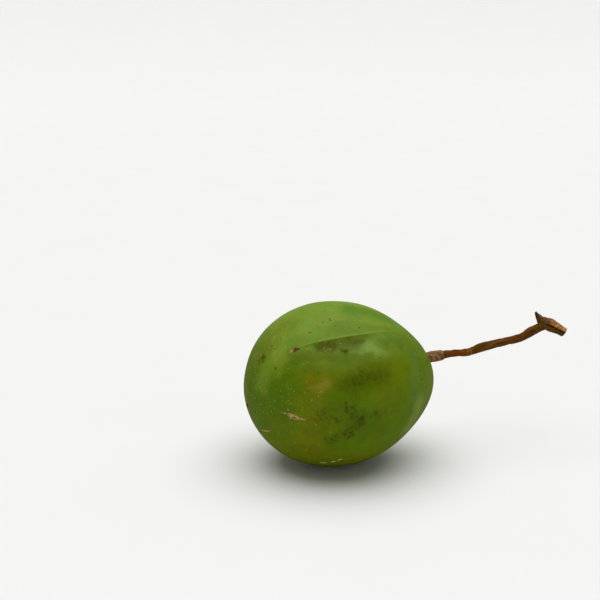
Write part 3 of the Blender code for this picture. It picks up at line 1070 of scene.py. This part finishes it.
def scar_material():
    shader = Shader("cork")
    place = shader.place()
    fibres = shader.noise(shader.vector("MULTIPLY", 0, place, (0.4, 1.0, 1.0)), 0.30, 4.0, 0.7)
    colour = shader.lay(linear(190, 172, 108), (124, 104, 46), fibres, 0.36, 0.62)
    blotch = shader.noise(place, 1.4, 3.0, 0.6)
    colour = shader.lay(colour, (76, 58, 20), blotch, 0.55, 0.66, 0.8)
    colour = shader.lay(colour, (92, 88, 26), shader.attribute("rim"), 0.80, 1.0, 0.6)

    # The scars low on the fruit are pale, and those high on it are darker
    height = shader.axis(place, 2)
    colour = shader.lay(colour, (224, 220, 148), height, -12.0, -22.0, 0.85)
    colour = shader.lay(colour, (112, 88, 40), height, 4.0, 12.0, 0.40)

    # The dark end of the first scar, and the style
    dark_end = shader.spot(place, (124.0, 33.8), 1.9)
    colour = shader.lay(colour, (54, 40, 14), dark_end, 1.2, 0.6, 0.85)
    style = shader.spot(place, BLOSSOM, 1.4)
    colour = shader.lay(colour, (66, 50, 22), style, 1.2, 0.9, 0.85)
    shader.bump(fibres, 0.6, 0.00005)
    return shader.finish(colour, SCAR_FINISH)


def paint_cut(shader, colour):
    """The twig's cut end: pale wood, a darker pith and a rim of bark."""
    off_axis = shader.attribute("off_axis")
    rings = shader.noise(shader.node("ShaderNodeCombineXYZ", 0, off_axis, 0.0, 0.0), 0.12, 2.0)
    wood = shader.lay(linear(186, 146, 98), (160, 118, 72), rings, 0.4, 0.6)
    wood = shader.lay(wood, (110, 72, 36), off_axis, 0.20, 0.12)
    cut = shader.times(shader.attribute("on_cut"), shader.ramp(off_axis, 0.86, 0.78))
    return shader.mix(cut, colour, wood)


def bark_material():
    shader = Shader("bark")
    place = shader.place()
    length = shader.attribute("length")
    twig = shader.attribute("twig")
    stalk = shader.maths("SUBTRACT", 1.0, twig)
    turn_x, turn_y = shader.attribute("turn_x"), shader.attribute("turn_y")
    streaks = shader.node("ShaderNodeCombineXYZ", 0, turn_x, turn_y, shader.times(length, 0.09))
    grain = shader.noise(streaks, 0.34, 5.0, 0.7)
    broad = shader.noise(streaks, 0.9)
    blotch = shader.noise(place, 2.2, 4.0, 0.65)
    wandering = shader.plus(length, shader.scaled(blotch, 8.0, -4.0))

    # The stalk's hues from its foot to the fork
    colour = linear(*FOOT_HUE)
    for start, tone in STALK_HUES:
        colour = shader.lay(colour, tone, wandering, start - 2.0, start + 2.0)

    # The twig: grey brown at the fork and warmer towards its cut end on a painted lit top, with painted
    # shade below
    lit_top_tone = shader.lay(linear(104, 78, 54), (200, 138, 84), wandering, 7.0, 10.5)
    twig_tone = shader.mix(shader.ramp(turn_y, -0.15, 0.35), linear(88, 62, 12), lit_top_tone)
    colour = shader.mix(twig, colour, twig_tone)
    colour = shader.lay(colour, (134, 72, 26), broad, 0.52, 0.68, 0.55)
    colour = shader.lay(colour, (62, 44, 5), broad, 0.44, 0.30, 0.50)
    colour = shader.lay(colour, (44, 24, 3), grain, 0.50, 0.64, 0.80)
    colour = shader.lay(colour, (142, 92, 42), grain, 0.40, 0.28, 0.55)
    colour = shader.lay(colour, (50, 34, 8), blotch, 0.60, 0.72, 0.6)

    # Dark cracks round the fork
    crazed = shader.noise(shader.stray(place, 1.2, 1.6), 1.5, 2.0)
    cracks = shader.maths("ABSOLUTE", shader.maths("SUBTRACT", crazed, 0.5))
    by_fork = shader.maths("MAXIMUM", shader.ramp(length, 48.0, 53.0), twig)
    cracks = shader.times(shader.ramp(cracks, 0.030, 0.008, 0.75), by_fork)
    colour = shader.mix(cracks, colour, linear(36, 20, 4))

    # The greyish foot, its ring and the thin cracks beyond it
    foot = shader.times(shader.ramp(length, KNUCKLE_LENGTH + 0.2, KNUCKLE_LENGTH - 0.2), stalk)
    mottle = shader.noise(place, 0.9, 4.0, 0.7)
    foot_tone = shader.lay(linear(150, 116, 76), (80, 60, 32), mottle, 0.42, 0.62)
    colour = shader.mix(shader.times(foot, 0.9), colour, foot_tone)
    uneven_length = shader.plus(length, shader.scaled(grain, 0.8, -0.4))
    for middle, half, tone, most in STALK_RINGS:
        away = shader.maths("ABSOLUTE", shader.maths("SUBTRACT", uneven_length, middle))
        line = shader.times(shader.ramp(away, half * 1.5, half * 0.5, most), stalk)
        colour = shader.mix(line, colour, linear(*tone))
    colour = shader.lay(colour, (30, 18, 4), shader.attribute("groove"), 0.2, 0.8, 0.85)
    colour = paint_cut(shader, colour)
    shader.bump(shader.plus(shader.times(grain, -1.0), shader.times(cracks, -0.6)), 0.8, 0.00015)
    return shader.finish(colour, BARK_FINISH)


def floor_material():
    shader = Shader("floor")
    clouds = shader.noise(shader.place(), 60.0, 2.0)
    return shader.finish(shader.mix(clouds, *FLOOR_TONES), FLOOR_FINISH)


# The stage


def make_floor():
    """A round floor whose far edge curves up a little, past the camera's horizon."""
    profile = [(FLOOR_RADIUS * 0.5, 0.0), (FLOOR_RADIUS, 0.0)]
    for step in range(1, FLOOR_STEPS + 1):
        angle = FLOOR_RISE * step / FLOOR_STEPS
        reach = FLOOR_RADIUS + FLOOR_BEND * sin(angle)
        profile.append((reach, FLOOR_BEND * (1.0 - cos(angle))))
    points = [(0.0, 0.0, 0.0)]
    for reach, height in profile:
        for side in range(FLOOR_SIDES):
            angle = tau * side / FLOOR_SIDES
            points.append((reach * cos(angle), reach * sin(angle), height))
    faces = fan_faces(0, 1, FLOOR_SIDES) + tube_faces(1, len(profile), FLOOR_SIDES)
    return add_mesh("floor", points, faces)


def light_scene():
    world = bpy.data.worlds.new("studio")
    world.use_nodes = True
    background = world.node_tree.nodes["Background"]
    background.inputs["Color"].default_value = SKY_COLOUR
    background.inputs["Strength"].default_value = SKY_STRENGTH
    bpy.context.scene.world = world
    light = bpy.data.lights.new("soft_daylight", "SUN")
    light.energy = SUN_STRENGTH
    light.angle = SUN_ANGLE
    add_object(light).rotation_euler = Vector(SUN_FROM).to_track_quat("Z", "Y").to_euler()
    bpy.context.scene.view_settings.view_transform = "Standard"


def place_camera():
    """A level camera that sees the fruit's centre at its place in the photograph."""
    level = Vector((sin(CAMERA_AZIMUTH), -cos(CAMERA_AZIMUTH), 0.0))
    back = level * cos(CAMERA_ELEVATION) + Vector((0.0, 0.0, sin(CAMERA_ELEVATION)))
    focal = CAMERA_DISTANCE / METRES_PER_PIXEL
    right = (CENTRE_PIXEL[0] - PHOTO_SIZE / 2) / focal
    up = (PHOTO_SIZE / 2 - CENTRE_PIXEL[1]) / focal
    seen = Vector((right, up, -1.0)).normalized()
    focal *= -seen.z  # the fruit is off the lens's axis, where things look a little larger
    dip = atan2(seen.y, -seen.z)
    tilt = acos(sin(CAMERA_ELEVATION) / hypot(seen.y, seen.z)) - dip
    turned = Matrix.Rotation(tilt, 3, "X") @ seen
    turn = atan2(-back.y, -back.x) - atan2(turned.y, turned.x)
    data = bpy.data.cameras.new("camera")
    data.sensor_width = SENSOR_WIDTH
    data.lens = SENSOR_WIDTH * focal / PHOTO_SIZE
    obj = add_object(data, CENTRE + back * CAMERA_DISTANCE)
    obj.rotation_euler = (tilt, 0.0, turn)
    bpy.context.scene.camera = obj


def dress(obj, material, node):
    obj.data.materials.clear()
    obj.data.materials.append(material)
    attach(obj, "root")
    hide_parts(node)


dress(make_fruit(), skin_material(), "fruit")
dress(make_scars(), scar_material(), "fruit")
dress(make_stalk(), bark_material(), "stalk")
floor = make_floor()
floor.data.materials.append(floor_material())
light_scene()
place_camera()
